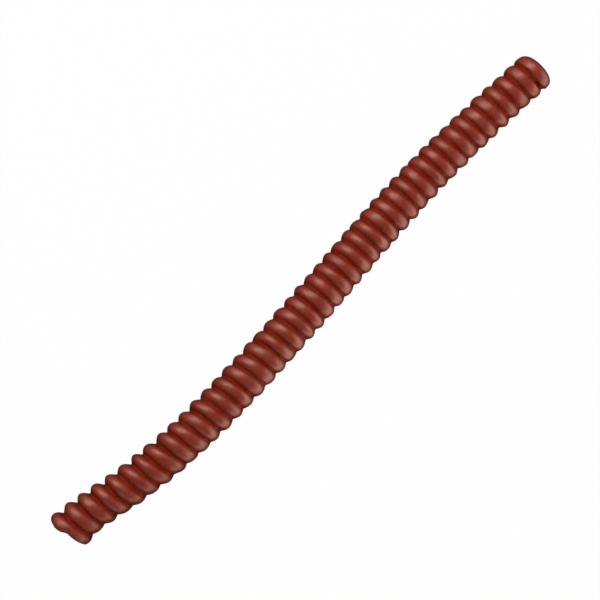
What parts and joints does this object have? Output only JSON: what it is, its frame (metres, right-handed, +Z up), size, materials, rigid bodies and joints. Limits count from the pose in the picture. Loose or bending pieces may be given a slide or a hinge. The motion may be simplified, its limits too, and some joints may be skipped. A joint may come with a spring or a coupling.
{
  "type": "soft plastic worm",
  "caption": "Ribbed soft plastic fishing worm: a long round body with one helical rib, a blunt cut tail and a rounded head, that bends, twists and stretches.",
  "frame": {"origin": "on the ground under the middle of the body's bounding box", "axes": "+X from the tail to the head, +Z up, +Y to the left of the worm seen from above its tail"},
  "size_m": [0.152, 0.0154, 0.0102],
  "materials": {
    "soft_plastic": "satin"
  },
  "bodies": {
    "tail_end": {"tail_end": "soft_plastic"},
    "rib_pair_01": {"rib_pair_01": "soft_plastic"},
    "rib_pair_02": {"rib_pair_02": "soft_plastic"},
    "rib_pair_03": {"rib_pair_03": "soft_plastic"},
    "rib_pair_04": {"rib_pair_04": "soft_plastic"},
    "rib_pair_05": {"rib_pair_05": "soft_plastic"},
    "rib_pair_06": {"rib_pair_06": "soft_plastic"},
    "rib_pair_07": {"rib_pair_07": "soft_plastic"},
    "rib_pair_08": {"rib_pair_08": "soft_plastic"},
    "rib_pair_09": {"rib_pair_09": "soft_plastic"},
    "rib_pair_10": {"rib_pair_10": "soft_plastic"},
    "rib_pair_11": {"rib_pair_11": "soft_plastic"},
    "rib_pair_12": {"rib_pair_12": "soft_plastic"},
    "rib_pair_13": {"rib_pair_13": "soft_plastic"},
    "rib_pair_14": {"rib_pair_14": "soft_plastic"},
    "rib_pair_15": {"rib_pair_15": "soft_plastic"},
    "rib_pair_16": {"rib_pair_16": "soft_plastic"},
    "rib_pair_17": {"rib_pair_17": "soft_plastic"},
    "rib_pair_18": {"rib_pair_18": "soft_plastic"},
    "rib_pair_19": {"rib_pair_19": "soft_plastic"},
    "rib_pair_20": {"rib_pair_20": "soft_plastic"},
    "head_end": {"head_end": "soft_plastic"}
  },
  "joints": [
    {"name": "flex_01_up", "type": "hinge", "parent": "rib_pair_01", "child": "tail_end", "pos_m": [-0.06847, 0.0007, 0.00468], "axis": [0, 1, 0], "range_deg": [-25, 25], "stiffness_Nm_per_rad": 0.002},
    {"name": "flex_02_side", "type": "hinge", "parent": "rib_pair_02", "child": "rib_pair_01", "pos_m": [-0.06097, -0.00079, 0.00476], "axis": [0, 0, -1], "range_deg": [-25, 25], "stiffness_Nm_per_rad": 0.002},
    {"name": "flex_03_twist", "type": "hinge", "parent": "rib_pair_03", "child": "rib_pair_02", "pos_m": [-0.05351, -0.00189, 0.00483], "axis": [-1, 0, 0], "range_deg": [-30, 30], "stiffness_Nm_per_rad": 0.0007},
    {"name": "flex_04_up", "type": "hinge", "parent": "rib_pair_04", "child": "rib_pair_03", "pos_m": [-0.04609, -0.00254, 0.00489], "axis": [0, 1, 0], "range_deg": [-25, 25], "stiffness_Nm_per_rad": 0.002},
    {"name": "flex_05_side", "type": "hinge", "parent": "rib_pair_05", "child": "rib_pair_04", "pos_m": [-0.03871, -0.00278, 0.00494], "axis": [0, 0, -1], "range_deg": [-25, 25], "stiffness_Nm_per_rad": 0.002},
    {"name": "flex_06_stretch", "type": "slide", "parent": "rib_pair_06", "child": "rib_pair_05", "axis": [-1, 0, 0], "range_m": [0, 0.003], "stiffness_N_per_m": 120},
    {"name": "flex_07_up", "type": "hinge", "parent": "rib_pair_07", "child": "rib_pair_06", "pos_m": [-0.02418, -0.00242, 0.00503], "axis": [0, 1, 0], "range_deg": [-25, 25], "stiffness_Nm_per_rad": 0.002},
    {"name": "flex_08_side", "type": "hinge", "parent": "rib_pair_08", "child": "rib_pair_07", "pos_m": [-0.01712, -0.00201, 0.00506], "axis": [0, 0, -1], "range_deg": [-25, 25], "stiffness_Nm_per_rad": 0.002},
    {"name": "flex_09_twist", "type": "hinge", "parent": "rib_pair_09", "child": "rib_pair_08", "pos_m": [-0.01019, -0.00153, 0.00508], "axis": [-1, 0, 0], "range_deg": [-30, 30], "stiffness_Nm_per_rad": 0.0007},
    {"name": "flex_10_up", "type": "hinge", "parent": "rib_pair_10", "child": "rib_pair_09", "pos_m": [-0.0034, -0.00098, 0.00509], "axis": [0, 1, 0], "range_deg": [-25, 25], "stiffness_Nm_per_rad": 0.002},
    {"name": "flex_11_side", "type": "hinge", "parent": "rib_pair_11", "child": "rib_pair_10", "pos_m": [0.00325, -0.00039, 0.0051], "axis": [0, 0, -1], "range_deg": [-25, 25], "stiffness_Nm_per_rad": 0.002},
    {"name": "flex_12_side", "type": "hinge", "parent": "rib_pair_11", "child": "rib_pair_12", "pos_m": [0.00981, 0.00024, 0.0051], "axis": [0, 0, 1], "range_deg": [-25, 25], "stiffness_Nm_per_rad": 0.002},
    {"name": "flex_13_up", "type": "hinge", "parent": "rib_pair_12", "child": "rib_pair_13", "pos_m": [0.01634, 0.00088, 0.00509], "axis": [0, -1, 0], "range_deg": [-25, 25], "stiffness_Nm_per_rad": 0.002},
    {"name": "flex_14_twist", "type": "hinge", "parent": "rib_pair_13", "child": "rib_pair_14", "pos_m": [0.02284, 0.00148, 0.00507], "axis": [1, 0, 0], "range_deg": [-30, 30], "stiffness_Nm_per_rad": 0.0007},
    {"name": "flex_15_side", "type": "hinge", "parent": "rib_pair_14", "child": "rib_pair_15", "pos_m": [0.0293, 0.00201, 0.00505], "axis": [0, 0, 1], "range_deg": [-25, 25], "stiffness_Nm_per_rad": 0.002},
    {"name": "flex_16_up", "type": "hinge", "parent": "rib_pair_15", "child": "rib_pair_16", "pos_m": [0.03574, 0.00242, 0.00501], "axis": [0, -1, 0], "range_deg": [-25, 25], "stiffness_Nm_per_rad": 0.002},
    {"name": "flex_17_stretch", "type": "slide", "parent": "rib_pair_16", "child": "rib_pair_17", "axis": [1, 0, 0], "range_m": [0, 0.003], "stiffness_N_per_m": 120},
    {"name": "flex_18_side", "type": "hinge", "parent": "rib_pair_17", "child": "rib_pair_18", "pos_m": [0.04868, 0.00283, 0.00492], "axis": [0, 0, 1], "range_deg": [-25, 25], "stiffness_Nm_per_rad": 0.002},
    {"name": "flex_19_up", "type": "hinge", "parent": "rib_pair_18", "child": "rib_pair_19", "pos_m": [0.05533, 0.00285, 0.00487], "axis": [0, -1, 0], "range_deg": [-25, 25], "stiffness_Nm_per_rad": 0.002},
    {"name": "flex_20_twist", "type": "hinge", "parent": "rib_pair_19", "child": "rib_pair_20", "pos_m": [0.0621, 0.00277, 0.0048], "axis": [1, 0, 0], "range_deg": [-30, 30], "stiffness_Nm_per_rad": 0.0007},
    {"name": "flex_21_side", "type": "hinge", "parent": "rib_pair_20", "child": "head_end", "pos_m": [0.06899, 0.00261, 0.00473], "axis": [0, 0, 1], "range_deg": [-25, 25], "stiffness_Nm_per_rad": 0.002}
  ]
}
